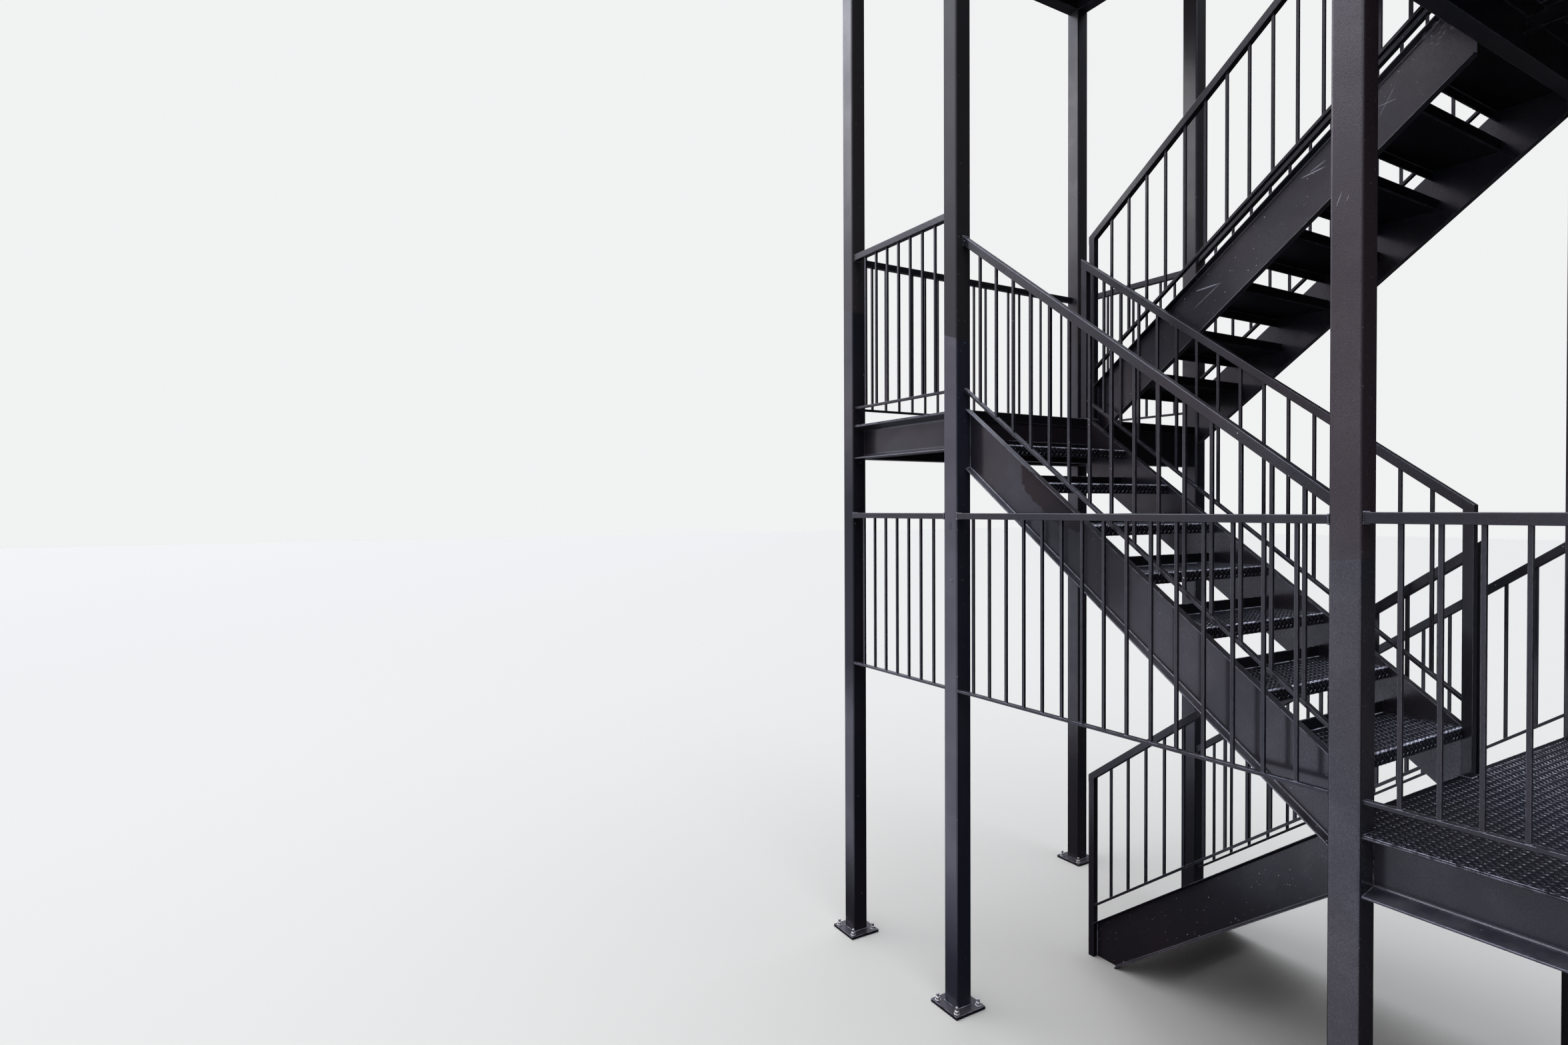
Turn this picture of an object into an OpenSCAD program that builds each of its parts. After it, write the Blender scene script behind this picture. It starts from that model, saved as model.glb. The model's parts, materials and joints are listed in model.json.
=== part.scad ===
// Outdoor steel escape stair: a free-standing switchback tower on eight square tube posts.
// Flights rise in turn on the right and on the left of a narrow well, between landings
// at the near end (-Y, the building side) and at the far end (+Y).
// The origin is on the ground in the middle of the post grid, +Z is up.

/* [Storeys] */
// Height of one riser
riser = 201; // [180:1:210]
// Lower flights, which share one count of risers
lower_flights = 3; // [1:1:3]
// Risers in each of the lower flights
risers = 8; // [6:1:10]
// Risers in each flight above them, on the same run
upper_risers = 9; // [7:1:10]
// Flights, one above the other, from the ground up
flights = 5; // [3:2:5]

/* [Plan] */
// Mean clear width of the flights between their stringers
stair_w = 931; // [800:1:1200]
// Gap between the two flights, web to web
well_w = 106; // [104:1:300]
// Offset of that gap towards the terrace side
well_shift = 22; // [0:1:60]
// Depth of one step from nosing to nosing in the lower flights
going = 262; // [240:1:300]
// Distance between the two post rows of a landing
landing_bay = 950; // [900:5:1300]

/* [Posts] */
// Side of the square post
post_w = 101.6; // [90:0.1:150]
// Wall of the post
post_wall = 6.4; // [4:0.1:12]
// Outer corner radius of the post
post_corner = 9.5; // [8:0.1:14]
// Height of a post above the guard beside it
post_over = 40; // [20:1:200]
// Overhang of the cap plate around the post
cap_lip = 5; // [2:1:15]
// Thickness of the cap plate
cap_t = 6; // [4:1:12]

/* [Base plates] */
// Side of the square base plate
base_w = 204; // [190:2:260]
// Thickness of the base plate
base_t = 16; // [12:1:30]
// Spacing of the anchor holes
anchor_gauge = 152; // [140:1:180]
// Diameter of an anchor hole
anchor_d = 18; // [12:1:24]

/* [Stringers] */
// Depth of the stringer channel
stringer_d = 254; // [230:1:300]
// Flange width of the stringer channel
stringer_flange = 38; // [30:1:50]
// Web thickness of the stringer channel
stringer_web = 4.3; // [3:0.1:8]
// Mean flange thickness of the stringer channel
stringer_ft = 7.1; // [5:0.1:12]

/* [Landing beams] */
// Depth of the header that carries the flights
header_d = 254; // [230:1:300]
// Flange width of the header
header_flange = 66; // [50:1:90]
// Web thickness of the header
header_web = 6.1; // [4:0.1:12]
// Mean flange thickness of the header
header_ft = 11.1; // [6:0.1:16]
// Depth of the side and end beams
beam_d = 203; // [180:1:230]
// Flange width of the side and end beams
beam_flange = 89; // [60:1:92]
// Web thickness of the side and end beams
beam_web = 10.8; // [5:0.1:14]
// Mean flange thickness of the side and end beams
beam_ft = 13.3; // [8:0.1:18]
// Depth of the joists under the deck
joist_d = 102; // [75:1:150]
// Flange width of a joist
joist_flange = 40; // [30:1:60]
// Web thickness of a joist
joist_web = 4.7; // [3:0.1:8]
// Mean flange thickness of a joist
joist_ft = 7.5; // [5:0.1:10]
// Joists under each deck
joists = 3; // [2:1:5]

/* [Decks and treads] */
// Thickness of the deck plate
deck_t = 6.4; // [5:0.1:10]
// Depth of the lip turned down at the edge of a deck
deck_lip = 50; // [30:1:70]
// Clearance of a deck around posts and stringers
deck_gap = 1; // [0.5:0.5:5]
// Thickness of the tread plate
tread_t = 5; // [3:0.1:8]
// Depth of the nose turned down at the front of a tread
nose_drop = 50; // [30:1:60]
// Height of the edge turned up at the back of a tread
back_rise = 50; // [30:1:60]
// Length of a tread behind the nosing above it
tread_lap = 25; // [10:1:40]
// Outer radius of the bends in a tread
bend_r = 9; // [8.5:0.5:14]

/* [Guards] */
// Height of the rail above the nosing line
hand_h = 914; // [850:1:1000]
// Height of a landing guard above the floor
guard_h = 1067; // [1000:1:1100]
// Side of the square top rail and of the newels
rail_w = 38; // [30:1:50]
// Corner radius of the top rail
rail_corner = 3; // [1:0.5:6]
// Width of the channel that holds the feet of the pickets
foot_w = 25.4; // [20:0.1:35]
// Depth of that channel
foot_d = 12.7; // [10:0.1:20]
// Wall of that channel
foot_t = 3.2; // [2:0.1:4]
// Side of a square picket
picket = 12.7; // [10:0.1:16]
// Widest clear gap between pickets
picket_gap = 103; // [80:1:125]
// Clear gap under a landing guard
guard_foot = 102; // [60:1:120]
// Clear gap between a stringer and the channel above it, plumb
slope_foot = 95; // [60:1:120]
// Inset of the landing guards from the outer faces of the posts
guard_inset = 12; // [8:1:20]
// Inset of the flight rails from the post centres
rail_inset = 15; // [5:1:25]

/* [Terrace guard] */
// Drop from the first landing to the terrace beside it
terrace_drop = 8; // [0:1:60]
// Side of the terrace guard's top rail
terrace_rail = 32; // [25:1:40]
// Clear gap under the terrace guard
terrace_foot = 115; // [60:1:150]

/* [Hidden] */
steel = [0.13, 0.13, 0.14];
plate_black = [0.19, 0.19, 0.21];
header_y = (risers - 1) * going / 2;
post_x = well_w / 2 + stair_w + post_w / 2;
post_in_y = header_y + post_w / 2;
post_far_y = post_in_y + landing_bay;
inner_x = post_x - post_w / 2;
outer_x = post_x + post_w / 2;
far = 10 * riser * risers;

function steps(k) = k > lower_flights ? upper_risers : risers;
function step_depth(k) = 2 * header_y / (steps(k) - 1);
function pitch(k) = atan(riser / step_depth(k));
function landing_z(k) =
    riser * (min(k, lower_flights) * risers + max(k - lower_flights, 0) * upper_risers);
function flight_h(k) = riser * steps(k);
// The nosing line is straight over a whole flight, and this is its height at mid flight
function nose_mid(k) = riser * (steps(k) + 1) / 2 + deck_t * tan(pitch(k));
function foot_plumb(k) = slope_foot + foot_d / cos(pitch(k));
function hand_mid(k) = nose_mid(k) + hand_h - rail_w / 2 / cos(pitch(k));
function slope_len(k) = 2 * (header_y + post_w) / cos(pitch(k)) + 2 * stringer_d;
function is_far(k) = k % 2 == 0;
function turned(k) = is_far(k) ? 0 : 180;
// Distance of a flight's inner stringer from the middle of the posts
function web_x(k) = well_w / 2 + (is_far(k) ? 1 : -1) * well_shift;
// The far posts carry the foot of the last flight's rail, the near ones the top guard
function top_of(row_far) = post_over + (row_far
    ? landing_z(flights - 1)
        + max(guard_h, nose_mid(flights) + hand_h - header_y * tan(pitch(flights)))
    : landing_z(flights) + guard_h);
function pickets(len) = max(1, ceil((len - picket_gap) / (picket_gap + picket)));
function arc(cx, cy, r, a0, a1, n = 4) =
    [for (i = [0 : n]) [cx + r * cos(a0 + (a1 - a0) * i / n), cy + r * sin(a0 + (a1 - a0) * i / n)]];

SIDES = ["left", "right"];
ROWS = ["near", "near_inner", "far_inner", "far"];

// Cross-section of a square tube or bar with round corners, centred
module round_square(w, r) {
    square([w, w - 2 * r], center = true);
    square([w - 2 * r, w], center = true);
    for (sx = [-1, 1]) for (sy = [-1, 1])
        translate([sx * (w / 2 - r), sy * (w / 2 - r)]) circle(r = r, $fn = 24);
}

// A rolled channel's flange tapers by one in six, and a fillet joins it to the web
function lean(flange, web) = (flange - web) / 12;
function fillet(web, ft) = min(1.2 * web, ft);

// Cross-section of a rolled channel: flat web on x = 0, toes towards +x, top at y = 0
module channel(d, flange, web, ft) {
    toe = ft - lean(flange, web);
    root = ft + lean(flange, web);
    r = fillet(web, ft);
    rt = toe / 2;
    upper = concat(
        [[0, 0], [flange, 0]],
        arc(flange - rt, rt - toe, rt, 0, -90),
        arc(web + r, -root - r, r, 90, 180)
    );
    lower = [for (i = [len(upper) - 1 : -1 : 0]) [upper[i][0], -d - upper[i][1]]];
    polygon(concat(upper, lower));
}

// Cross-section of the punched channel at the feet of the pickets, toes down, top at y = 0
module foot_channel() {
    translate([-foot_w / 2, -foot_d]) difference() {
        square([foot_w, foot_d]);
        translate([foot_t, -foot_t]) square([foot_w - 2 * foot_t, foot_d]);
    }
}

// A cross-section run along the nosing line of flight k, which rises towards +Y.
// Its y = 0 lies at the given height, measured plumb, above that line.
module on_slope(k, rise = 0) {
    translate([0, 0, nose_mid(k) + rise]) rotate([90 + pitch(k), 0, 0])
        linear_extrude(height = slope_len(k), center = true) children();
}

// Cuts what runs along the slope plumb at y0 and y1
module plumb_cut(y0, y1) {
    intersection() {
        children();
        translate([-far / 2, y0, -far / 2]) cube([far, y1 - y0, far]);
    }
}

// A cross-section run level along +Y from y0 to y1
module run_y(y0, y1) {
    translate([0, y1, 0]) rotate([90, 0, 0]) linear_extrude(height = y1 - y0) children();
}

// A cross-section run level along +X from x0 to x1
module run_x(x0, x1) {
    translate([x0, 0, 0]) rotate([90, 0, 90]) linear_extrude(height = x1 - x0) children();
}

// Places the children at the near or the far end, at the height of landing k
module at_landing(k) {
    translate([0, 0, landing_z(k)]) rotate([0, 0, turned(k)]) children();
}

// Places the children as flight k, which ends on landing k
module at_flight(k) {
    translate([0, 0, landing_z(k - 1)]) rotate([0, 0, turned(k)]) children();
}

function row_y(i) = [-post_far_y, -post_in_y, post_in_y, post_far_y][i];

module post(side, i) {
    color(steel) translate([side * post_x, row_y(i), base_t])
        linear_extrude(height = top_of(i > 1) - base_t) difference() {
            round_square(post_w, post_corner);
            round_square(post_w - 2 * post_wall, post_corner - post_wall);
        }
}

module base_plates() {
    color(steel) for (side = [-1, 1]) for (i = [0 : 3])
        translate([side * post_x, row_y(i), 0]) difference() {
            translate([-base_w / 2, -base_w / 2, 0]) cube([base_w, base_w, base_t]);
            for (sx = [-1, 1]) for (sy = [-1, 1])
                translate([sx * anchor_gauge / 2, sy * anchor_gauge / 2, -base_t])
                    cylinder(d = anchor_d, h = 3 * base_t, $fn = 32);
        }
}

module post_caps() {
    cap_w = post_w + 2 * cap_lip;
    color(steel) for (side = [-1, 1]) for (i = [0 : 3])
        translate([side * post_x, row_y(i), top_of(i > 1)])
            linear_extrude(height = cap_t) round_square(cap_w, post_corner);
}

// Both stringers of a flight, toes away from the treads. The lowest pair stands on the ground.
module stringers(k) {
    color(steel) at_flight(k) difference() {
        for (side = [-1, 1])
            translate([side < 0 ? -inner_x : -web_x(k), 0, 0]) mirror([side < 0 ? 1 : 0, 0, 0])
                plumb_cut(-header_y, header_y) on_slope(k)
                    channel(stringer_d, stringer_flange, stringer_web, stringer_ft);
        if (k == 1) translate([-far / 2, -far / 2, -far]) cube([far, far, far]);
    }
}

// Cross-section of one tread pan: x runs back from the nosing, top face at y = 0
module tread_profile(depth) {
    inner_r = bend_r - tread_t;
    polygon(concat(
        [[0, -nose_drop]],
        arc(bend_r, -bend_r, bend_r, 180, 90),
        arc(depth - bend_r, inner_r, inner_r, -90, 0),
        [[depth - tread_t, back_rise], [depth, back_rise]],
        arc(depth - bend_r, inner_r, bend_r, 0, -90),
        arc(bend_r, -bend_r, inner_r, 90, 180),
        [[tread_t, -nose_drop]]
    ));
}

module treads(k) {
    color(plate_black) at_flight(k) for (i = [1 : steps(k) - 1]) {
        nose_y = header_y - deck_t - i * step_depth(k);
        back_y = min(nose_y + step_depth(k) + tread_lap, header_y);
        translate([0, nose_y, (steps(k) - i) * riser]) run_x(-inner_x, -web_x(k))
            tread_profile(back_y - nose_y);
    }
}

// Pickets of a panel that runs from y0 to y1 along a line of the given slope
module picket_row(y0, y1, z_low, z_high, slope = 0) {
    n = pickets(y1 - y0);
    step = (y1 - y0 + picket) / (n + 1);
    for (i = [1 : n]) {
        y = y0 - picket / 2 + i * step;
        translate([-picket / 2, y - picket / 2, z_low + slope * y])
            cube([picket, picket, z_high - z_low]);
    }
}

// Sloping guard of a flight. Its top rail runs past the pickets by the given length.
module flight_panel(k, over = 0) {
    plumb_cut(-header_y - over, header_y + over)
        on_slope(k, hand_h) translate([0, -rail_w / 2]) round_square(rail_w, rail_corner);
    plumb_cut(-header_y, header_y) on_slope(k, foot_plumb(k)) foot_channel();
    picket_row(-header_y, header_y,
        nose_mid(k) + foot_plumb(k) - foot_d / 2, hand_mid(k), tan(pitch(k)));
}

// The outer rail runs between posts, the well rail on its own newels, one on each landing
module rails(k) {
    newel_y = header_y + rail_w / 2;
    color(steel) at_flight(k) {
        translate([rail_inset - post_x, 0, 0]) flight_panel(k);
        translate([rail_w / 2 - web_x(k), 0, 0]) {
            flight_panel(k, rail_w);
            translate([0, -newel_y, 0])
                linear_extrude(height = hand_mid(k) - newel_y * tan(pitch(k)))
                    round_square(rail_w, rail_corner);
            translate([0, newel_y, flight_h(k)])
                linear_extrude(height = hand_mid(k) + newel_y * tan(pitch(k)) - flight_h(k))
                    round_square(rail_w, rail_corner);
        }
    }
}

function beam_back_y() = post_far_y + post_w / 2 - guard_inset - beam_flange;

// Header, side beams and end beam of a landing
module landing_beams(k) {
    color(steel) at_landing(k) translate([0, 0, -deck_t]) {
        run_x(-inner_x, inner_x) translate([header_y, 0])
            channel(header_d, header_flange, header_web, header_ft);
        run_x(-inner_x, inner_x) translate([beam_back_y(), 0])
            channel(beam_d, beam_flange, beam_web, beam_ft);
        for (side = [-1, 1]) mirror([side > 0 ? 1 : 0, 0, 0])
            translate([guard_inset - outer_x + beam_flange, 0, 0]) mirror([1, 0, 0])
                run_y(header_y + post_w, post_far_y - post_w / 2)
                    channel(beam_d, beam_flange, beam_web, beam_ft);
    }
}

// Joists under the plate, between the webs of header and end beam and coped under the
// top flange of the header
module landing_joists(k) {
    cope_h = header_ft + lean(header_flange, header_web) + fillet(header_web, header_ft);
    color(steel) at_landing(k) translate([0, 0, -deck_t])
        for (i = [1 : joists])
            translate([-inner_x + i * 2 * inner_x / (joists + 1), 0, 0]) difference() {
                run_y(header_y + header_web, beam_back_y())
                    channel(joist_d, joist_flange, joist_web, joist_ft);
                translate([-joist_flange, header_y, -cope_h])
                    cube([3 * joist_flange, header_flange + deck_gap, 2 * cope_h]);
            }
}

// Checker plate floor, notched round the posts, with a lip over each flight
module landing_deck(k) {
    edge_x = outer_x - guard_inset;
    edge_y = post_far_y + post_w / 2 - guard_inset;
    notch = post_w + 2 * deck_gap;
    color(plate_black) at_landing(k) translate([0, 0, -deck_t]) {
        linear_extrude(height = deck_t) difference() {
            translate([-edge_x, header_y]) square([2 * edge_x, edge_y - header_y]);
            for (side = [-1, 1]) for (y = [post_in_y, post_far_y])
                translate([side * post_x, y]) square(notch, center = true);
        }
        for (x = [[-inner_x, -web_x(k)], [web_x(k + 1), inner_x]])
            translate([x[0] + deck_gap, header_y - deck_t, deck_t - deck_lip])
                cube([x[1] - x[0] - 2 * deck_gap, deck_t, deck_lip]);
    }
}

// A level guard panel along +Y from y0 to y1, on the plane x = 0, above the floor
module level_panel(y0, y1, top, foot, rail) {
    translate([0, 0, top - rail / 2]) run_y(y0, y1) round_square(rail, rail_corner);
    translate([0, 0, foot + foot_d]) run_y(y0, y1) foot_channel();
    picket_row(y0, y1, foot + foot_d / 2, top - rail / 2);
}

// Guards round a landing: two sides, and the end of a far landing.
// On the top landing one more closes the edge beside the last flight.
module landing_guards(k) {
    side_x = outer_x - guard_inset - rail_w / 2;
    end_y = post_far_y + post_w / 2 - guard_inset - rail_w / 2;
    color(steel) at_landing(k) {
        for (side = [-1, 1]) translate([side * side_x, 0, 0])
            level_panel(header_y + post_w, post_far_y - post_w / 2, guard_h, guard_foot, rail_w);
        if (is_far(k)) translate([0, end_y, 0]) rotate([0, 0, 90])
            level_panel(-inner_x, inner_x, guard_h, guard_foot, rail_w);
        if (k == flights) translate([0, header_y + rail_w / 2, 0]) rotate([0, 0, 90])
            level_panel(-inner_x, web_x(k) - rail_w, guard_h, guard_foot, rail_w);
    }
}

// Level guards of the terrace beside the first landing, between the left posts
module terrace_guards() {
    color(steel) translate([terrace_rail / 2 - outer_x, 0, landing_z(1) - terrace_drop]) {
        level_panel(post_in_y + post_w / 2, post_far_y - post_w / 2,
            guard_h, terrace_foot, terrace_rail);
        level_panel(-header_y, header_y, guard_h, terrace_foot, terrace_rail);
    }
}

for (s = [0, 1]) for (i = [0 : 3])
    post(2 * s - 1, i);
base_plates();
post_caps();
for (k = [1 : flights]) {
    stringers(k);
    treads(k);
    rails(k);
    landing_beams(k);
    landing_joists(k);
    landing_deck(k);
    landing_guards(k);
}
terrace_guards();
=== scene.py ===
import json
from functools import partial
from math import radians, degrees, cos, atan, atan2, pi, hypot
import bpy
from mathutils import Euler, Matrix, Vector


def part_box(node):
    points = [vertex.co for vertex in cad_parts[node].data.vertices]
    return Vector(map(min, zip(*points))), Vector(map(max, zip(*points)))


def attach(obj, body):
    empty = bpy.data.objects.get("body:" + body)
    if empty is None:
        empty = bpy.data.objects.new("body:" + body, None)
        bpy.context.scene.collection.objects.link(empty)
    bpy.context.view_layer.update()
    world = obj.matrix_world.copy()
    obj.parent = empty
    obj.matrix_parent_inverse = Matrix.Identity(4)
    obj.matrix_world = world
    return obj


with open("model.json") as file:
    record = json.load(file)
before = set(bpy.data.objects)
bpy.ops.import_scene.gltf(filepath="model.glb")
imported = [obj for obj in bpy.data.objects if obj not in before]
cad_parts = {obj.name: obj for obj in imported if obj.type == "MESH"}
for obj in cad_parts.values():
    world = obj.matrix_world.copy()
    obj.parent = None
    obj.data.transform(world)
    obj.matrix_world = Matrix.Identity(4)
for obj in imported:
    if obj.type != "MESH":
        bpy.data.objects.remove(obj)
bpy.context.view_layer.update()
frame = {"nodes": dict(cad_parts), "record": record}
print("frame loaded:", len(frame["nodes"]), "nodes")

# camera and layout
cameraSettings = {
    "place": (-4.0895, -2.4039, 2.6936),  # eye about 1.1 m above the first landing
    "turn": (89.2202, 0.2424, -30.3647),  # degrees
    "lens": 19.02,
    "shiftY": -0.0015,
    "clip": (0.02, 200),
}


def addCamera(s):
    data = bpy.data.cameras.new("camera")
    data.lens = s["lens"]
    data.shift_y = s["shiftY"]
    data.clip_start, data.clip_end = s["clip"]
    camera = bpy.data.objects.new("camera", data)
    camera.location = s["place"]
    camera.rotation_euler = Euler([radians(a) for a in s["turn"]])
    bpy.context.scene.collection.objects.link(camera)
    bpy.context.scene.camera = camera


addCamera(cameraSettings)

# the stair as the CAD has it, metres
stair = {
    "riser": 0.201,
    "steps": (8, 8, 8, 9, 9),
    "halfRun": 0.917,  # from mid flight to the header
    "deckT": 0.0064,
    "noseDrop": 0.05,
    "stringerDepth": 0.254,
    "stringerWeb": 0.0043,
    "postHalf": 0.0508,
    "railHalf": 0.019,
    "guardInset": 0.012,
    "railInset": 0.015,
    "railHeight": 0.914,  # above the nosing line
    "guardHeight": 1.067,  # above a floor
    "terraceDrop": 0.008,
    "terraceHalf": 0.016,
    "beamDepth": 0.203,
    "beamFlange": 0.089,
    "beamWeb": 0.0108,
    "beamFlangeT": 0.0133,
    "baseT": 0.016,
    "anchorGauge": 0.152,
}
flightCount = len(stair["steps"])
levels = [0.0] + [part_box(f"landing_{k}_deck")[1].z for k in range(1, flightCount + 1)]
postX = (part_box("post_right_near")[0].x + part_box("post_right_near")[1].x) / 2
innerX = postX - stair["postHalf"]
outerX = postX + stair["postHalf"]
postInY = stair["halfRun"] + stair["postHalf"]
postFarY = (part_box("post_right_far")[0].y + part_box("post_right_far")[1].y) / 2
deckX = outerX - stair["guardInset"]  # a floor's outer edges, as far out as the guards
deckY = postFarY + stair["postHalf"] - stair["guardInset"]


def webX(k):  # distance of a flight's inner stringer from the middle
    low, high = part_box(f"flight_{k}_treads")
    return min(abs(low.x), abs(high.x))


def stepDepth(k):
    return 2 * stair["halfRun"] / (stair["steps"][k - 1] - 1)


def slopeOf(k):
    return stair["riser"] / stepDepth(k)


def noseMid(k):  # height of the nosing line at mid flight, above the flight's foot
    return stair["riser"] * (stair["steps"][k - 1] + 1) / 2 + stair["deckT"] * slopeOf(k)


def side(k):  # even flights rise towards +Y on the left, odd ones are turned half round
    return 1 if k % 2 == 0 else -1


def flightPoint(k, x, y, z):
    return Vector((side(k) * x, side(k) * y, levels[k - 1] + z))


def landingPoint(k, x, y, z):
    return Vector((side(k) * x, side(k) * y, levels[k] + z))


# small modelling helpers
def deselectAll():
    if bpy.context.object and bpy.context.object.mode != "OBJECT":
        bpy.ops.object.mode_set(mode="OBJECT")
    bpy.ops.object.select_all(action="DESELECT")


def pick(*objects):
    deselectAll()
    for o in objects:
        o.select_set(True)
    bpy.context.view_layer.objects.active = objects[0]


def settle(piece):  # puts a piece's place, turn and scale into its mesh
    pick(piece)
    bpy.ops.object.transform_apply(location=True, rotation=True, scale=True)


def moved(piece, offset, turn=(0, 0, 0)):
    piece.location = Vector(offset)
    piece.rotation_euler = Euler(turn)
    settle(piece)
    return piece


def copyOf(piece, offset=(0, 0, 0), turn=(0, 0, 0)):
    pick(piece)
    bpy.ops.object.duplicate()
    return moved(bpy.context.object, offset, turn)


def joined(name, pieces):
    pick(*pieces)
    if len(pieces) > 1:
        bpy.ops.object.join()
    made = bpy.context.object
    made.name = made.data.name = name
    return made


def drop(piece):
    bpy.data.objects.remove(piece, do_unlink=True)


def repeat(piece, count, offset):  # a row of copies, applied
    pick(piece)
    bpy.ops.object.modifier_add(type="ARRAY")
    row = piece.modifiers[-1]
    row.use_relative_offset = False
    row.use_constant_offset = True
    row.constant_offset_displace = offset
    row.count = count
    bpy.ops.object.modifier_apply(modifier=row.name)


def finishPiece(piece, material, angle):
    pick(piece)
    bpy.ops.object.shade_smooth_by_angle(angle=radians(angle))
    piece.data.materials.clear()
    piece.data.materials.append(material)
    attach(piece, "root")


# small shading helpers
def addNode(tree, kind, values=None, **settings):
    made = tree.nodes.new(kind)
    for key, value in settings.items():
        setattr(made, key, value)
    for key, value in (values or {}).items():
        if isinstance(value, bpy.types.NodeSocket):
            tree.links.new(value, made.inputs[key])
        else:
            made.inputs[key].default_value = value
    return made


def maths(tree, operation, a, b=0.0, c=0.0):
    return addNode(tree, "ShaderNodeMath", {0: a, 1: b, 2: c}, operation=operation).outputs[0]


def product(tree, first, *others):
    for value in others:
        first = maths(tree, "MULTIPLY", first, value)
    return first


def between(tree, value, low, high, toLow=0.0, toHigh=1.0):
    made = addNode(tree, "ShaderNodeMapRange", {"Value": value, "From Min": low, "From Max": high,
                                                "To Min": toLow, "To Max": toHigh},
                   interpolation_type="SMOOTHSTEP")
    return made.outputs["Result"]


def noise(tree, vector, scale, detail=2.0, roughness=0.5):
    made = addNode(tree, "ShaderNodeTexNoise", {"Vector": vector, "Scale": scale, "Detail": detail,
                                                "Roughness": roughness})
    return made.outputs["Fac"]


def axes(tree, vector):
    return addNode(tree, "ShaderNodeSeparateXYZ", {"Vector": vector}).outputs


def mixColour(tree, mask, low, high):
    made = addNode(tree, "ShaderNodeMix", data_type="RGBA")
    for name, value in (("Factor", mask), ("A", low), ("B", high)):
        socket = next(s for s in made.inputs if s.name == name and s.enabled)
        if isinstance(value, bpy.types.NodeSocket):
            tree.links.new(value, socket)
        else:
            socket.default_value = value
    return next(s for s in made.outputs if s.enabled)


# effects that several finishes share, where noise is its pitch, detail and roughness
effectSettings = {
    "grain": {"fineDetail": 1.5, "wideDetail": 2.0, "wideScale": 0.5, "wideHeight": 0.7, "wideTone": 0.25,
              "toneRange": (0.28, 0.72)},
    # pale edges: real wear, with painted highlight on those that face up
    "wearAndHighlight": {"turned": (0.994, 0.90), "noise": (34.0, 4.0, 0.65), "broken": (0.36, 0.56), "upSpan": 0.4},
    "dust": {"up": (0.35, 0.95), "noise": (9.0, 5.0, 0.62), "spread": (0.35, 0.72)},
    "bend": {"fromFront": (0.40, 0.70), "fromTop": (0.995, 0.95), "noise": (22.0, 4.0, 0.65),
             "broken": (0.36, 0.60)},
    "specks": {"pitch": 75.0, "radius": (0.045, 0.14), "pale": (0.15, 0.80)},  # least, and what chance adds
    "patch": {"detail": 4.0, "roughness": 0.6},
}


def newGroup(name, vectors, values, outputs):  # each group reads the place on the object as its Vector
    tree = bpy.data.node_groups.new(name, "ShaderNodeTree")
    for label in ("Vector", *vectors):
        tree.interface.new_socket(label, in_out="INPUT", socket_type="NodeSocketVector")
    for label, value in values.items():
        socket = tree.interface.new_socket(label, in_out="INPUT", socket_type="NodeSocketFloat")
        socket.default_value = value
    for label in outputs:
        tree.interface.new_socket(label, in_out="OUTPUT", socket_type="NodeSocketFloat")
    given = tree.nodes.new("NodeGroupInput")
    return tree, given.outputs, tree.nodes.new("NodeGroupOutput").inputs


def makePaintGrain(s):  # the pebbled skin of rolled-on paint
    tree, given, out = newGroup("paintGrain", (), {"Pitch": 420.0}, ("Height", "Tone"))
    fine = noise(tree, given["Vector"], given["Pitch"], s["fineDetail"])
    wide = noise(tree, given["Vector"], product(tree, given["Pitch"], s["wideScale"]), s["wideDetail"])
    tree.links.new(maths(tree, "MULTIPLY_ADD", wide, s["wideHeight"], fine), out["Height"])
    pebbles = maths(tree, "MULTIPLY_ADD", wide, s["wideTone"], product(tree, fine, 1 - s["wideTone"]))
    tree.links.new(between(tree, pebbles, *s["toneRange"]), out["Tone"])
    return tree


def makeEdgeWearAndHighlight(s):  # paler along the edges: partly real wear, partly painted highlight, as edges that face up are made paler than the rest
    tree, given, out = newGroup("edgeWearAndHighlight", (), {"Width": 0.002, "Sides": 1.0, "Level": 0.35}, ("Mask",))
    rounded = addNode(tree, "ShaderNodeBevel", {"Radius": given["Width"]}, samples=4).outputs["Normal"]
    flat = addNode(tree, "ShaderNodeNewGeometry").outputs["Normal"]
    facing = addNode(tree, "ShaderNodeVectorMath", {0: rounded, 1: flat}, operation="DOT_PRODUCT")
    edge = between(tree, facing.outputs["Value"], *s["turned"])
    broken = between(tree, noise(tree, given["Vector"], *s["noise"]), *s["broken"])
    topLevel = maths(tree, "ADD", given["Level"], s["upSpan"])
    facingUp = between(tree, axes(tree, rounded)["Z"], given["Level"], topLevel)
    share = maths(tree, "MAXIMUM", facingUp, given["Sides"])
    tree.links.new(product(tree, edge, broken, share), out["Mask"])
    return tree


def makeDust(s):  # grey dust that settles on what faces up
    tree, given, out = newGroup("dust", (), {"Amount": 0.5}, ("Mask",))
    flat = addNode(tree, "ShaderNodeNewGeometry").outputs["Normal"]
    up = between(tree, axes(tree, flat)["Z"], *s["up"])
    spread = between(tree, noise(tree, given["Vector"], *s["noise"]), *s["spread"])
    tree.links.new(product(tree, up, spread, given["Amount"]), out["Mask"])
    return tree


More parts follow.
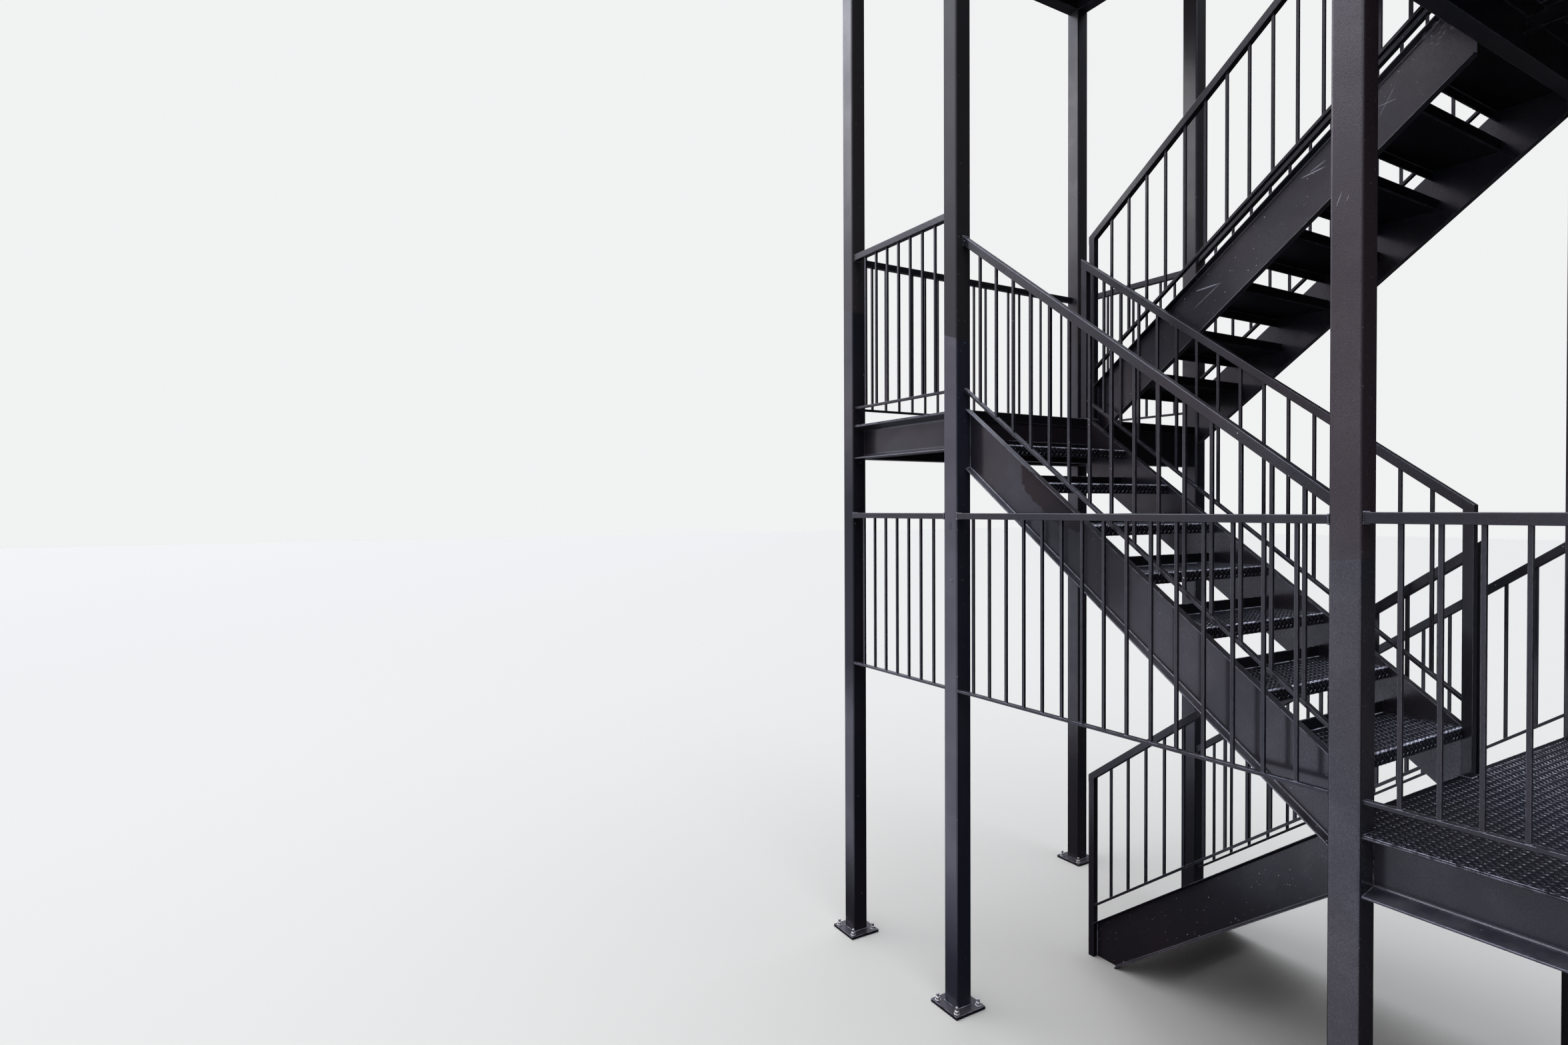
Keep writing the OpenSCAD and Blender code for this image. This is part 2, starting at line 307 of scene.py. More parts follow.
def makeBendWearAndHighlight(s):  # feet rub the bends of a plate, which face between level and upright; the pale bend is partly real wear, partly painted highlight
    tree, given, out = newGroup("bendWearAndHighlight", (), {"Amount": 0.5}, ("Mask",))
    up = axes(tree, addNode(tree, "ShaderNodeNewGeometry").outputs["Normal"])["Z"]
    bend = product(tree, between(tree, up, *s["fromFront"]), between(tree, up, *s["fromTop"]))
    broken = between(tree, noise(tree, given["Vector"], *s["noise"]), *s["broken"])
    tree.links.new(product(tree, bend, broken, given["Amount"]), out["Mask"])
    return tree


def makeSpecks(s):  # small pale spots of grit and overspray
    tree, given, out = newGroup("specks", (), {"Share": 0.1}, ("Mask",))
    cells = addNode(tree, "ShaderNodeTexVoronoi", {"Vector": given["Vector"], "Scale": s["pitch"],
                                                   "Randomness": 1.0})
    chance = addNode(tree, "ShaderNodeSeparateColor", {"Color": cells.outputs["Color"]}).outputs
    chosen = maths(tree, "LESS_THAN", chance[0], given["Share"])
    size = maths(tree, "POWER", chance[1], 3.0)  # few are large
    radius = maths(tree, "MULTIPLY_ADD", size, s["radius"][1], s["radius"][0])
    spot = maths(tree, "LESS_THAN", cells.outputs["Distance"], radius)
    pale = maths(tree, "MULTIPLY_ADD", chance[2], s["pale"][1], s["pale"][0])
    tree.links.new(product(tree, chosen, spot, pale), out["Mask"])
    return tree


def makePatch(s):  # a ragged patch round a place, turned along the steel
    tree, given, out = newGroup("patch", ("Centre", "Turn", "Size"),
                                {"Ragged": 0.3, "Grain": 30.0, "Soft": 0.08}, ("Mask",))
    local = addNode(tree, "ShaderNodeMapping", {"Vector": given["Vector"], "Location": given["Centre"],
                                                "Rotation": given["Turn"], "Scale": given["Size"]},
                    vector_type="TEXTURE")
    reach = addNode(tree, "ShaderNodeVectorMath", {0: local.outputs[0]}, operation="LENGTH")
    uneven = noise(tree, given["Vector"], given["Grain"], s["detail"], s["roughness"])
    torn = maths(tree, "SUBTRACT", uneven, 0.5)
    edge = maths(tree, "MULTIPLY_ADD", torn, given["Ragged"], reach.outputs["Value"])
    inner = maths(tree, "SUBTRACT", 1.0, given["Soft"])
    tree.links.new(between(tree, edge, 1.0, inner), out["Mask"])
    return tree


makers = {"grain": makePaintGrain, "wearAndHighlight": makeEdgeWearAndHighlight, "dust": makeDust, "bend": makeBendWearAndHighlight,
          "specks": makeSpecks, "patch": makePatch}
effects = {name: make(effectSettings[name]) for name, make in makers.items()}


def effect(tree, name, vector, **values):
    made = tree.nodes.new("ShaderNodeGroup")
    made.node_tree = effects[name]
    tree.links.new(vector, made.inputs["Vector"])
    for key, value in values.items():
        made.inputs[key].default_value = value
    return made.outputs


# finishes
paintSettings = {
    "clouds": {"noise": (1.7, 3.0), "range": (0.35, 0.65)},  # drift between the two blacks
    "grainRough": 0.10,
    "gloss": {"detail": 5.0, "roughness": 0.62, "range": (0.36, 0.66)},  # the skin's gloss comes and goes
    "grainGloss": (0.45, 0.8),  # least, and what the grain's tone adds
    "brush": {"noise": (60.0, 3.0), "wave": 0.006, "width": 0.004},
    "strokes": (0.52, 0.62),
    "dust": {"colour": (0.060, 0.058, 0.057, 1), "strength": 0.55, "rougher": 0.22, "dull": 0.6},
    "speck": {"colour": (0.42, 0.41, 0.40, 1), "strength": 0.75},
    "grainDepth": 0.0008,
}


def layered(tree, look, mask, layer):  # lays a colour over the paint, rougher and duller
    colour, rough, skin = look
    colour = mixColour(tree, product(tree, mask, layer.get("strength", 1.0)), colour, layer["colour"])
    rough = maths(tree, "MULTIPLY_ADD", mask, layer["rougher"], rough)
    return colour, rough, product(tree, skin, maths(tree, "MULTIPLY_ADD", mask, -layer["dull"], 1.0))


def coatMask(tree, place, coat):  # a second coat ends at a slanted brush line
    brush = paintSettings["brush"]
    slant = maths(tree, "MULTIPLY_ADD", axes(tree, place)["Y"], coat["slant"], axes(tree, place)["Z"])
    wavy = maths(tree, "MULTIPLY_ADD", noise(tree, place, *brush["noise"]), brush["wave"], slant)
    return between(tree, wavy, coat["height"], coat["height"] + brush["width"])


def patchMask(tree, place, spot):
    turn = [radians(a) for a in spot["turn"]]
    mask = effect(tree, "patch", place, Centre=spot["centre"], Turn=turn, Size=spot["size"],
                  Ragged=spot["ragged"], Grain=spot["grain"], Soft=spot.get("soft", 0.08))["Mask"]
    if "thin" in spot:  # broken up into fine strokes
        strokes = addNode(tree, "ShaderNodeMapping", {"Vector": place, "Rotation": turn,
                                                      "Scale": spot["thin"]}, vector_type="TEXTURE")
        broken = between(tree, noise(tree, strokes.outputs[0], 1.0), *paintSettings["strokes"])
        mask = product(tree, mask, broken)
    return mask


def paintedSteel(name, settings):
    material = bpy.data.materials.new(name)
    material.use_nodes = True
    tree = material.node_tree
    s, clouds, gloss = paintSettings, paintSettings["clouds"], paintSettings["gloss"]
    place = addNode(tree, "ShaderNodeTexCoord").outputs["Object"]
    grain = effect(tree, "grain", place, Pitch=settings["grainPitch"])
    drift = between(tree, noise(tree, place, *clouds["noise"]), *clouds["range"])
    colour = mixColour(tree, drift, settings["cool"], settings["warm"])
    rough = maths(tree, "MULTIPLY_ADD", grain["Tone"], s["grainRough"],
                  settings["rough"] - s["grainRough"] / 2)
    uneven = noise(tree, place, settings["glossPitch"], gloss["detail"], gloss["roughness"])
    glossy = between(tree, uneven, *gloss["range"], settings["glossLeast"], 1.0)
    leastSkin, grainSkin = s["grainGloss"]
    skin = product(tree, glossy, maths(tree, "MULTIPLY_ADD", grain["Tone"], grainSkin, leastSkin))
    look = (colour, rough, skin)
    if "coat" in settings:
        look = layered(tree, look, coatMask(tree, place, settings["coat"]), settings["coat"])
    for spot in settings.get("patches", ()):
        look = layered(tree, look, patchMask(tree, place, spot), spot)
    look = layered(tree, look, effect(tree, "dust", place, Amount=settings["dust"])["Mask"], s["dust"])
    colour, rough, skin = look
    # pale edges: real wear, with painted highlight on the edges that face up
    wearAndHighlight = effect(tree, "wearAndHighlight", place, Width=settings["edgeWidth"], Sides=settings["sides"],
                  Level=settings["level"])
    colour = mixColour(tree, product(tree, wearAndHighlight["Mask"], settings["wearAndHighlight"]), colour, settings["bareAndHighlight"])
    # pale bends: real wear, and painted highlight along them
    if "bendWearAndHighlight" in settings:
        bend = effect(tree, "bend", place, Amount=settings["bendWearAndHighlight"])
        colour = mixColour(tree, bend["Mask"], colour, settings["bareAndHighlight"])
    specks = effect(tree, "specks", place, Share=settings["specks"])
    spots = product(tree, specks["Mask"], s["speck"]["strength"])
    colour = mixColour(tree, spots, colour, s["speck"]["colour"])
    rounded = addNode(tree, "ShaderNodeBevel", {"Radius": settings["edgeRadius"]}, samples=4)
    bump = addNode(tree, "ShaderNodeBump", {"Height": grain["Height"], "Normal": rounded.outputs["Normal"],
                                            "Strength": settings["bump"], "Distance": s["grainDepth"]})
    shader = tree.nodes["Principled BSDF"]
    tree.links.new(colour, shader.inputs["Base Color"])
    tree.links.new(rough, shader.inputs["Roughness"])
    tree.links.new(product(tree, skin, settings["gloss"]), shader.inputs["Coat Weight"])
    tree.links.new(bump.outputs["Normal"], shader.inputs["Normal"])
    shader.inputs["Coat Roughness"].default_value = settings["glossRough"]
    shader.inputs["Specular IOR Level"].default_value = settings["specular"]
    shader.inputs["Metallic"].default_value = settings["metallic"]
    return material


blackPaint = {
    "cool": (0.0026, 0.0029, 0.0046, 1),
    "warm": (0.0054, 0.0038, 0.0045, 1),
    # pale colour of worn edges and bends, which also stands in for their highlights
    "bareAndHighlight": (0.22, 0.22, 0.25, 1),
    "metallic": 0.0,
    "rough": 0.44,
    "specular": 0.12,
    "gloss": 0.95,
    "glossRough": 0.20,
    "glossPitch": 3.1,
    "glossLeast": 0.68,
    "bump": 0.9,
    "grainPitch": 420.0,
    "edgeWidth": 0.0045,
    "edgeRadius": 0.0022,
    "wearAndHighlight": 0.8,
    "sides": 0.35,  # share of the pale edges, wear and painted highlight, on edges that do not face up
    "level": 0.35,  # how far up an edge has to face to get the full painted highlight
    "dust": 0.35,
    "specks": 0.07,
}
slopeTurn = {k: side(k) * degrees(atan(slopeOf(k))) for k in range(1, flightCount + 1)}
postFace = -outerX
outerWeb2 = -1.0  # close to the outer side of the second flight, where patches reach deep
innerWeb3 = webX(3) - stair["stringerWeb"]  # the well side of the third flight
secondTurn, thirdTurn = (slopeTurn[2], 0, 0), (slopeTurn[3], 0, 0)


def scratch(x, start, end, width, strength=0.6):  # a thin line in the paint between two places (y, z)
    y, z = (start[0] + end[0]) / 2, (start[1] + end[1]) / 2
    turn = degrees(atan2(end[1] - start[1], end[0] - start[0]))
    length = hypot(end[0] - start[0], end[1] - start[1])
    return {"centre": (x, y, z), "turn": (turn, 0, 0), "size": (0.02, length / 2, width / 2), "ragged": 0.9,
            "grain": 160.0, "colour": (0.26, 0.26, 0.27, 1), "strength": strength, "rougher": 0.1,
            "dull": 0.3}


# the posts wear a second coat above a slanted line
postFar = paintedSteel("postPaintFar", {
    **blackPaint,
    "coat": {"height": 3.27, "slant": -0.35, "colour": (0.0095, 0.0080, 0.0072, 1), "rougher": 0.06,
             "dull": 0.35},
    "patches": [
        # painted shade: the far left post is darker and duller low down
        {"centre": (postFace, postFarY, 2.2), "turn": (0, 0, 0), "size": (0.04, 0.3, 1.0), "ragged": 0.5,
         "grain": 4.0, "colour": (0.0026, 0.0026, 0.0042, 1), "strength": 0.8, "rougher": 0.14, "dull": 0.9,
         "soft": 0.5},
    ],
})
postSecond = paintedSteel("postPaintSecond", {
    **blackPaint,
    # painted reflection: a lighter, bluer black than the other posts, for the pale floor it faces
    "cool": (0.0040, 0.0046, 0.0080, 1),
    "warm": (0.0056, 0.0056, 0.0086, 1),
    "rough": 0.46,
    "specular": 0.16,
    "gloss": 1.15,
    "coat": {"height": 3.27, "slant": -0.35, "colour": (0.0040, 0.0032, 0.0032, 1), "rougher": 0.14,
             "dull": 0.92},
    "patches": [  # the ghost of something once fixed there
        {"centre": (postFace, 0.963, 2.600), "turn": (8, 0, 0), "size": (0.02, 0.020, 0.034), "ragged": 0.5,
         "grain": 60.0, "colour": (0.020, 0.020, 0.026, 1), "strength": 0.7, "rougher": 0.05, "dull": 0.4},
        {"centre": (postFace, 0.963, 2.598), "turn": (8, 0, 0), "size": (0.02, 0.012, 0.024), "ragged": 0.5,
         "grain": 60.0, "colour": (0.006, 0.006, 0.009, 1), "strength": 0.8, "rougher": -0.05, "dull": 0.2},
    ],
})
postNear = paintedSteel("postPaintNear", {
    **blackPaint,
    "gloss": 1.2,
    "bump": 1.0,
    "grainPitch": 360.0,
    "specks": 0.34,
    "coat": {"height": 2.42, "slant": 0.10, "colour": (0.0090, 0.0060, 0.0066, 1), "rougher": 0.03,
             "dull": 0.38},
    "patches": [
        scratch(postFace, (-0.937, 3.695), (-0.955, 3.742), 0.0022, 0.35),
        scratch(postFace, (-0.969, 3.704), (-0.976, 3.724), 0.0018, 0.3),
    ],
})
stringerPaint = paintedSteel("stringerPaint", {
    **blackPaint,
    "rough": 0.40,
    "glossRough": 0.17,
    "specks": 0.20,
    "patches": [
        # a darker touch-up along the top of the second flight's outer side
        {"centre": (outerWeb2, 0.37, 2.738), "turn": secondTurn, "size": (0.2, 0.245, 0.078), "ragged": 0.8,
         "grain": 16.0, "colour": (0.0066, 0.0034, 0.0032, 1), "strength": 1.0, "rougher": 0.22,
         "dull": 0.95},
        # painted shade: the same side is made darker and duller half way down, and close under its head
        {"centre": (outerWeb2, 0.14, 2.49), "turn": secondTurn, "size": (0.2, 0.44, 0.26), "ragged": 0.7,
         "grain": 5.0, "colour": (0.0030, 0.0029, 0.0042, 1), "strength": 0.7, "rougher": 0.05, "dull": 0.7,
         "soft": 0.6},
        {"centre": (outerWeb2, 0.93, 3.02), "turn": (0, 0, 0), "size": (0.2, 0.13, 0.40), "ragged": 0.6,
         "grain": 8.0, "colour": (0.0026, 0.0028, 0.0042, 1), "strength": 0.7, "rougher": 0.03, "dull": 0.6,
         "soft": 0.8},
        # painted shade: the well side of the third flight is darker near its foot
        {"centre": (innerWeb3, 0.42, 3.72), "turn": thirdTurn, "size": (0.02, 0.44, 0.34), "ragged": 0.6,
         "grain": 6.0, "colour": (0.0026, 0.0030, 0.0050, 1), "strength": 0.7, "rougher": 0.05, "dull": 0.75,
         "soft": 0.6},
        # scratches and scuffs on the well side of the third flight
        scratch(innerWeb3, (0.295, 3.838), (0.160, 3.850), 0.0070, 0.45),
        scratch(innerWeb3, (0.310, 3.744), (0.150, 3.856), 0.0022, 0.5),
        scratch(innerWeb3, (-0.237, 4.250), (-0.347, 4.268), 0.0060, 0.6),
        scratch(innerWeb3, (-0.277, 4.264), (-0.350, 4.297), 0.0050, 0.5),
        scratch(innerWeb3, (-0.558, 4.452), (-0.635, 4.458), 0.0030, 0.5),
        scratch(innerWeb3, (-0.566, 4.405), (-0.629, 4.517), 0.0024, 0.45),
        {"centre": (innerWeb3, -0.82, 4.70), "turn": thirdTurn, "size": (0.02, 0.11, 0.05), "ragged": 1.6,
         "grain": 26.0, "thin": (0.05, 0.020, 0.006), "colour": (0.12, 0.12, 0.13, 1), "strength": 0.5,
         "rougher": 0.1, "dull": 0.6},
    ],
})
beamPaint = paintedSteel("beamPaint", {**blackPaint, "gloss": 0.7})
railPaint = paintedSteel("railPaint", {
    **blackPaint,
    "cool": (0.0022, 0.0024, 0.0038, 1),
    "warm": (0.0040, 0.0030, 0.0036, 1),
    "rough": 0.38,
    "gloss": 0.58,
    "glossRough": 0.13,
    "grainPitch": 500.0,
    "edgeWidth": 0.0035,
    "sides": 0.2,
    "specks": 0.04,
})
weldPaint = paintedSteel("weldPaint", {**blackPaint, "rough": 0.34, "gloss": 1.0, "bump": 0.3, "specks": 0.0})
platePaint = paintedSteel("platePaint", {
    **blackPaint,
    "cool": (0.0014, 0.0016, 0.0024, 1),
    "warm": (0.0026, 0.0020, 0.0025, 1),
    "bareAndHighlight": (0.34, 0.34, 0.37, 1),
    "rough": 0.46,
    "specular": 0.06,
    "gloss": 0.18,
    "bump": 0.7,
    "bendWearAndHighlight": 0.95,
    "dust": 0.04,
    "specks": 0.05,
})
# worn lugs: pale upward edges are partly real wear, partly painted glints; hardly any on the lugs' sides
lugFinish = {
    **blackPaint,
    "cool": (0.006, 0.0064, 0.009, 1),
    "warm": (0.003, 0.003, 0.004, 1),
    "bareAndHighlight": (0.40, 0.40, 0.44, 1),
    "rough": 0.30,
    "gloss": 1.0,
    "glossRough": 0.08,
    "glossPitch": 42.0,
    "glossLeast": 0.0,
    "bump": 0.2,
    "edgeWidth": 0.0015,
    "edgeRadius": 0.0008,
    "wearAndHighlight": 1.0,
    "sides": 0.03,
    "level": 0.60,
    "dust": 0.03,
    "specks": 0.0,
}
deckLugPaint = paintedSteel("deckLugPaint", lugFinish)
# the treads' lugs have brighter, wider pale edges than the floors': painted highlight, the treads being more
# lit
treadLugPaint = paintedSteel("treadLugPaint", {
    **lugFinish,
    "bareAndHighlight": (0.70, 0.70, 0.75, 1),
    "gloss": 1.5,
    "glossLeast": 0.10,
    "edgeWidth": 0.0019,
})
boltZinc = paintedSteel("boltZinc", {
    **blackPaint,
    "cool": (0.28, 0.29, 0.30, 1),
    "warm": (0.22, 0.20, 0.18, 1),
    "bareAndHighlight": (0.42, 0.42, 0.43, 1),
    "metallic": 0.85,
    "rough": 0.42,
    "gloss": 0.0,
    "bump": 0.3,
    "specks": 0.0,
})

slotPaint = {"post_paint": postFar, "stringer_paint": stringerPaint, "beam_paint": beamPaint,
             "rail_paint": railPaint, "checker_plate": platePaint}
nodePaint = {"post_left_far_inner": postSecond}
for row in ("near", "near_inner"):
    nodePaint[f"post_left_{row}"] = nodePaint[f"post_right_{row}"] = postNear
for part in frame["record"]["subparts"]:
    body = frame["nodes"][part["node"]]
    body.data.materials.clear()
    body.data.materials.append(nodePaint.get(part["node"], slotPaint[part["material_slot"]]))
print("finishes on the frame: done")

# raised pattern of the floor plate
lugSettings = {
    "pitch": 0.0315,  # between lugs that lie the same way
    "length": 0.027,
    "width": 0.0085,
    "height": 0.0017,
    "shoulder": 0.0022,
    "sunk": 0.0002,
    "corners": 6,
    "slant": 45,
    "frontMargin": 0.006,  # plain margins, from an edge to a lug's middle
    "endMargin": 0.010,
    "deckMargin": 0.011,
    "postClear": 0.009,  # and round what stands on a floor
    "newelClear": 0.010,
    "noseLap": 0.002,
    "treadGrid": (31, 9),  # columns and rows that cover a tread
    "deckGrid": (69, 34),  # and a floor
    "smooth": 60,
}


def modelLug(s):
    deselectAll()
    bpy.ops.mesh.primitive_circle_add(vertices=s["corners"], radius=s["length"] / 2, fill_type="NGON",
                                      location=(0, 0, 0))
    lug = bpy.context.object
    flatToFlat = 0.866 * s["length"]  # of a regular hexagon
    bpy.ops.object.mode_set(mode="EDIT")
    bpy.ops.mesh.select_all(action="SELECT")
    bpy.ops.transform.resize(value=(1, s["width"] / flatToFlat, 1))
    bpy.ops.mesh.inset(thickness=s["shoulder"], depth=s["height"])
    bpy.ops.mesh.select_all(action="DESELECT")
    bpy.ops.mesh.select_non_manifold()  # the open foot, closed and sunk a little into the plate
    bpy.ops.mesh.edge_face_add()
    bpy.ops.transform.translate(value=(0, 0, -s["sunk"]))
    bpy.ops.mesh.select_all(action="SELECT")
    bpy.ops.mesh.normals_make_consistent(inside=False)
    bpy.ops.object.mode_set(mode="OBJECT")
    return lug


def modelPattern(s, columns, rows):  # a sheet of lugs that starts at the corner (0, 0)
    lug = modelLug(s)
    quarter, turn = s["pitch"] / 4, radians(s["slant"])
    rising = copyOf(lug, (quarter, quarter, 0), (0, 0, turn))
    falling = copyOf(lug, (3 * quarter, 3 * quarter, 0), (0, 0, -turn))
    drop(lug)
    cell = joined("pattern", [rising, falling])
    repeat(cell, columns, (s["pitch"], 0, 0))
    repeat(cell, rows, (0, s["pitch"], 0))
    return cell


def trimmed(pattern, name, keep):  # keeps whole lugs whose middle passes the test
    sheet = copyOf(pattern)
    sheet.name = name
    perLug = 2 * lugSettings["corners"]  # points of a lug, round its foot and its top
    points = [v.co for v in sheet.data.vertices]
    doomed = []
    for first in range(0, len(points), perLug):
        middle = sum(points[first:first + perLug], Vector()) / perLug
        if not keep(middle.x, middle.y):
            doomed.extend(range(first, first + perLug))
    pick(sheet)
    bpy.ops.object.mode_set(mode="EDIT")
    bpy.ops.mesh.select_mode(type="VERT")
    bpy.ops.mesh.select_all(action="DESELECT")
    bpy.ops.object.mode_set(mode="OBJECT")
    for i in doomed:
        sheet.data.vertices[i].select = True
    bpy.ops.object.mode_set(mode="EDIT")
    bpy.ops.mesh.delete(type="VERT")
    bpy.ops.object.mode_set(mode="OBJECT")
    return sheet


def stripOf(pattern, x0, x1, depth):  # lugs between x0 and x1, and 0 and depth
    front, end = lugSettings["frontMargin"], lugSettings["endMargin"]
    strip = trimmed(pattern, "strip", lambda x, y: end < x < x1 - x0 - end and front < y < depth - front)
    return moved(strip, (x0, 0, 0))


def halfTurn(k):  # of an odd flight and the landing it leads to
    return (0, 0, 0 if side(k) > 0 else pi)


treadSheet = modelPattern(lugSettings, *lugSettings["treadGrid"])
for k in range(1, flightCount + 1):
    x0, x1, depth, treads = -innerX, -webX(k), stepDepth(k), stair["steps"][k - 1] - 1
    lap = lugSettings["noseLap"]
    noseY = stair["halfRun"] - stair["deckT"] - depth
    topZ = treads * stair["riser"]
    top = moved(stripOf(treadSheet, x0, x1, depth), (0, noseY + lap, topZ))
    nose = stripOf(treadSheet, x0, x1, stair["noseDrop"] + lap)
    nose = moved(nose, (0, noseY, topZ - stair["noseDrop"]), (radians(90), 0, 0))
    flight = joined(f"flight_{k}_lugs", [top, nose])
    repeat(flight, treads, (0, -depth, -stair["riser"]))
    moved(flight, (0, 0, levels[k - 1]), halfTurn(k))
    finishPiece(flight, treadLugPaint, lugSettings["smooth"])
drop(treadSheet)

deckSheet = modelPattern(lugSettings, *lugSettings["deckGrid"])
postReach = stair["postHalf"] + lugSettings["postClear"]
newelReach = stair["railHalf"] + lugSettings["newelClear"]
newelY = stair["halfRun"] + stair["railHalf"]
for k in range(1, flightCount + 1):
    stops = [(sx * postX, y, postReach) for sx in (-1, 1) for y in (postInY, postFarY)]
    stops.append((stair["railHalf"] - webX(k), newelY, newelReach))
    if k < flightCount:
        stops.append((webX(k + 1) - stair["railHalf"], newelY, newelReach))

    def onDeck(x, y, stops=stops):
        x, y, margin = x - deckX, y + stair["halfRun"], lugSettings["deckMargin"]
        inside = abs(x) < deckX - margin and stair["halfRun"] + margin < y < deckY - margin
        return inside and all(max(abs(x - a), abs(y - b)) > reach for a, b, reach in stops)

    deck = moved(trimmed(deckSheet, f"landing_{k}_lugs", onDeck), (-deckX, stair["halfRun"], 0))
    moved(deck, (0, 0, levels[k]), halfTurn(k))
    finishPiece(deck, deckLugPaint, lugSettings["smooth"])
drop(deckSheet)
print("raised pattern: done")

# weld beads
weldSettings = {
    "bead": 0.0040,  # radius
    "step": 0.0048,
    "flat": 0.6,
    "rise": 0.0015,  # a row's middle, above or beside what it is laid on
    "off": 0.0005,  # and outside the bar
    "ends": 0.012,  # left bare at the top and foot of a stringer
    "lowest": 0.009,  # of the first flight
    "least": 0.02,  # no shorter row is laid
    "smooth": 60,
}


def modelBead(s):
    deselectAll()
    bpy.ops.mesh.primitive_uv_sphere_add(segments=6, ring_count=4, radius=s["bead"], location=(0, 0, 0))
    bead = bpy.context.object
    bpy.ops.object.mode_set(mode="EDIT")
    bpy.ops.mesh.select_all(action="SELECT")
    bpy.ops.transform.resize(value=(1, 1, s["flat"]))
    bpy.ops.object.mode_set(mode="OBJECT")
    return bead


bead = modelBead(weldSettings)


def weld(start, end):  # a row of beads from one point to another
    start, end = Vector(start), Vector(end)
    count = max(2, int((end - start).length / weldSettings["step"]))
    turn = Vector((0, 0, 1)).rotation_difference((end - start).normalized()).to_euler()
    row = moved(copyOf(bead, turn=turn), start)
    repeat(row, count, (end - start) / (count - 1))
    return row


def weldLoop(corners):
    return [weld(corners[i], corners[(i + 1) % 4]) for i in range(4)]


def around(half, tall):  # corners round the middle of a bar
    return [(-half, -tall), (half, -tall), (half, tall), (-half, tall)]


def weldFoot(x, y, z, half):  # round the foot of a square tube
    half, z = half + weldSettings["off"], z + weldSettings["rise"]
    return weldLoop([(x + a, y + b, z) for a, b in around(half, half)])


def weldRailEnds(place, half, ends, across, z, lengthwise=True):  # where a level rail meets a post
    rows = []
    for end in ends:
        corners = [(across + a, end, z + b) if lengthwise else (end, across + a, z + b)
                   for a, b in around(half, half)]
        rows.extend(weldLoop([place(*corner) for corner in corners]))
    return rows


def finishWelds(name, rows):
    finishPiece(joined(name, rows), weldPaint, weldSettings["smooth"])


for k in range(1, flightCount + 1):
    rows = []
    slope, run = slopeOf(k), stair["halfRun"]
    depth = stair["stringerDepth"] * hypot(1, slope)
    for x, out in ((-innerX, -1), (-webX(k), 1)):
        toe = x + out * stair["stringerWeb"]
        for y, inset in ((-run, weldSettings["rise"]), (run, -weldSettings["rise"])):
            high = noseMid(k) + slope * y - weldSettings["ends"]
            low = high - depth + 2 * weldSettings["ends"]
            if k == 1:
                low = max(low, weldSettings["lowest"])
            if high - low > weldSettings["least"]:
                rows.append(weld(flightPoint(k, toe, y + inset, low), flightPoint(k, toe, y + inset, high)))
    feet = [(newelY, stair["steps"][k - 1] * stair["riser"])]
    if k > 1:  # the lowest newel stands free
        feet.append((-newelY, 0))
    for y, z in feet:
        rows.extend(weldFoot(*flightPoint(k, stair["railHalf"] - webX(k), y, z), stair["railHalf"]))
    finishWelds(f"flight_{k}_welds", rows)

rows = []
for sx in (-1, 1):
    for y in (-postFarY, -postInY, postInY, postFarY):
        rows.extend(weldFoot(sx * postX, y, stair["baseT"], stair["postHalf"]))
finishWelds("base_welds", rows)

r = stair["railHalf"]
railZ = stair["guardHeight"] - r
nearPost, farPost = postInY + stair["postHalf"], postFarY - stair["postHalf"]
beamX = deckX - stair["beamFlange"] + stair["beamWeb"]
beamTop = -stair["deckT"] - stair["beamFlangeT"]
beamFoot = beamTop - stair["beamDepth"] + 2 * stair["beamFlangeT"]
for k in range(1, flightCount + 1):
    rows = []
    onLanding = partial(landingPoint, k)
    for sx in (-1, 1):
        rows.extend(weldRailEnds(onLanding, r, (nearPost, farPost), sx * (deckX - r), railZ))
        for y in (nearPost, farPost):  # the side beams' webs
            rows.append(weld(onLanding(sx * beamX, y, beamTop), onLanding(sx * beamX, y, beamFoot)))
    if side(k) > 0:  # the guard at the far end
        rows.extend(weldRailEnds(onLanding, r, (-innerX, innerX), deckY - r, railZ, False))
    if k == flightCount:  # the guard beside the topmost flight
        rows.extend(weldRailEnds(onLanding, r, (-innerX, webX(k) - 2 * r), newelY, railZ, False))
    # the outer rails of the flight that ends here
    tall = r * hypot(1, slopeOf(k))
    for y in (-stair["halfRun"], stair["halfRun"]):
        mid = noseMid(k) + stair["railHeight"] - tall + slopeOf(k) * y
        rows.extend(weldLoop([flightPoint(k, stair["railInset"] - postX + a, y, mid + b)
                              for a, b in around(r, tall)]))
    finishWelds(f"landing_{k}_welds", rows)

rows = []
half = stair["terraceHalf"]
railZ = levels[1] - stair["terraceDrop"] + stair["guardHeight"] - half
for ends in ((-stair["halfRun"], stair["halfRun"]), (nearPost, farPost)):
    rows.extend(weldRailEnds(lambda x, y, z: Vector((x, y, z)), half, ends, half - outerX, railZ))
finishWelds("terrace_welds", rows)
drop(bead)
print("weld beads: done")

# anchor bolts
boltSettings = {
    "stud": 0.0078,
    "over": 0.036,
    "under": 0.001,  # the stud's foot, above the underside of the plate
    "nutAcross": 0.0238,
    "nutT": 0.0135,
    "washer": 0.0168,
    "washerT": 0.003,
    "chamfers": (0.0012, 0.0005, 0.001),
    "turn": 13,  # from each post to the next
    "smooth": 30,
}


def cylinder(sides, radius, low, high):
    bpy.ops.mesh.primitive_cylinder_add(vertices=sides, radius=radius, depth=high - low,
                                        location=(0, 0, (low + high) / 2))
    return bpy.context.object


